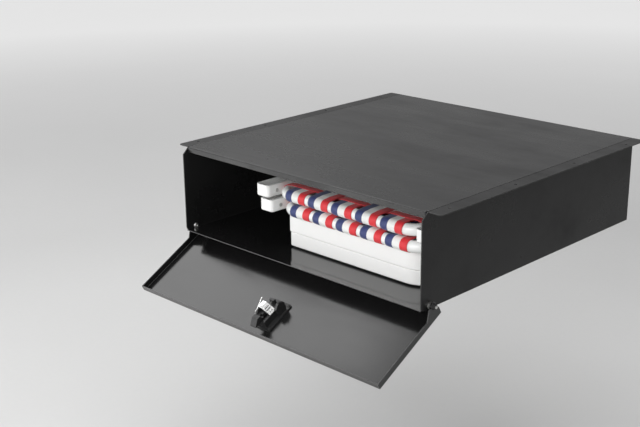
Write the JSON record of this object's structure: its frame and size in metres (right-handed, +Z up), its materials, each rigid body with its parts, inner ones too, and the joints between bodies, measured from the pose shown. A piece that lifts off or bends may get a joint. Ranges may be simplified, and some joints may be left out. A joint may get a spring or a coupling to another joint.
{
  "type": "underbody storage locker",
  "caption": "Black sheet-metal locker that hangs under a vehicle floor, with a drop-down latched door standing open on a folded camp table and folded webbed chairs.",
  "frame": {"origin": "Centre of the mounting-hole pattern, on the top face of the mounting flanges (the face that meets the vehicle floor)", "axes": "+X right when facing the opening, +Y into the locker away from the door, +Z up"},
  "size_m": [0.7772, 0.8943, 0.3189],
  "materials": {
    "black_sheet": "semi-gloss black powder coat",
    "zinc_hardware": "bright zinc-plated steel",
    "bright_latch": "bright zinc casting and wire",
    "lock_chrome": "chromed lock",
    "black_latch": "black glass-filled nylon, light satin",
    "rubber": "closed-cell rubber",
    "white_moulding": "white blow-moulded polyethylene, fine texture",
    "grey_moulding": "grey moulded plastic",
    "table_leg_tube": "grey powder-coated tube",
    "white_plastic": "white moulded plastic",
    "white_tube": "white enamelled tube",
    "webbing": "blue, white and red woven webbing"
  },
  "bodies": {
    "locker": {"floor_panel": "black_sheet", "left_side_panel": "black_sheet", "right_side_panel": "black_sheet", "rear_panel": "black_sheet", "top_panel": "black_sheet", "pivot_bolts": "zinc_hardware", "pivot_spacer_washers": "zinc_hardware", "pivot_lock_nuts": "zinc_hardware"},
    "door": {"door_pan": "black_sheet", "handle_gasket": "rubber", "handle_housing": "black_latch", "paddle_pin": "zinc_hardware", "lock_cylinder": "lock_chrome", "latch_housing": "black_latch", "latch_cover": "bright_latch", "latch_rod": "bright_latch", "latch_screws": "zinc_hardware", "latch_spring": "zinc_hardware"},
    "paddle": {"paddle_handle": "black_latch"},
    "key_plug": {"lock_key_plug": "lock_chrome"},
    "bolt": {"latch_bolt": "black_latch"},
    "table": {"table_bottom_half": "white_moulding", "table_carry_handle": "white_moulding", "table_catches": "white_moulding", "table_feet": "rubber", "table_hinge_rod": "zinc_hardware", "table_leg_brackets": "grey_moulding", "table_leg_lower": "table_leg_tube", "table_leg_upper": "table_leg_tube", "table_top_half": "white_moulding"},
    "lower_chair": {"lower_chair_armrests": "white_plastic", "lower_chair_back_frame": "white_tube", "lower_chair_back_webbing_cross": "webbing", "lower_chair_back_webbing_long": "webbing", "lower_chair_front_leg_frame": "white_tube", "lower_chair_rear_leg_frame": "white_tube", "lower_chair_rivets": "zinc_hardware", "lower_chair_seat_frame": "white_tube", "lower_chair_seat_webbing": "webbing"},
    "upper_chair": {"upper_chair_armrests": "white_plastic", "upper_chair_back_frame": "white_tube", "upper_chair_back_webbing_cross": "webbing", "upper_chair_back_webbing_long": "webbing", "upper_chair_front_leg_frame": "white_tube", "upper_chair_rear_leg_frame": "white_tube", "upper_chair_rivets": "zinc_hardware", "upper_chair_seat_frame": "white_tube", "upper_chair_seat_webbing": "webbing"}
  },
  "joints": [
    {"name": "door_hinge", "type": "hinge", "parent": "locker", "child": "door", "pos_m": [0, -0.354, -0.1935], "axis": [1, 0, 0], "range_deg": [-119.4, 0]},
    {"name": "paddle_pull", "type": "hinge", "parent": "door", "child": "paddle", "pos_m": [0.012, -0.47003, -0.30536], "axis": [-1, 0, 0], "range_deg": [0, 20]},
    {"name": "bolt_slide", "type": "slide", "parent": "door", "child": "bolt", "axis": [0, -0.8712, -0.4909], "range_m": [-0.0098, 0]},
    {"name": "key_turn", "type": "hinge", "parent": "door", "child": "key_plug", "pos_m": [0.012, -0.43471, -0.29063], "axis": [0, 0.4909, -0.8712], "range_deg": [0, 90]},
    {"name": "table_out", "type": "slide", "parent": "locker", "child": "table", "axis": [0, -1, 0], "range_m": [0, 0.45]},
    {"name": "lower_chair_out", "type": "slide", "parent": "locker", "child": "lower_chair", "axis": [0, -1, 0], "range_m": [0, 0.45]},
    {"name": "upper_chair_out", "type": "slide", "parent": "locker", "child": "upper_chair", "axis": [0, -1, 0], "range_m": [0, 0.45]}
  ],
  "couplings": [
    {"joint": "bolt_slide", "follows": "paddle_pull", "m_per_rad": -0.02775}
  ]
}
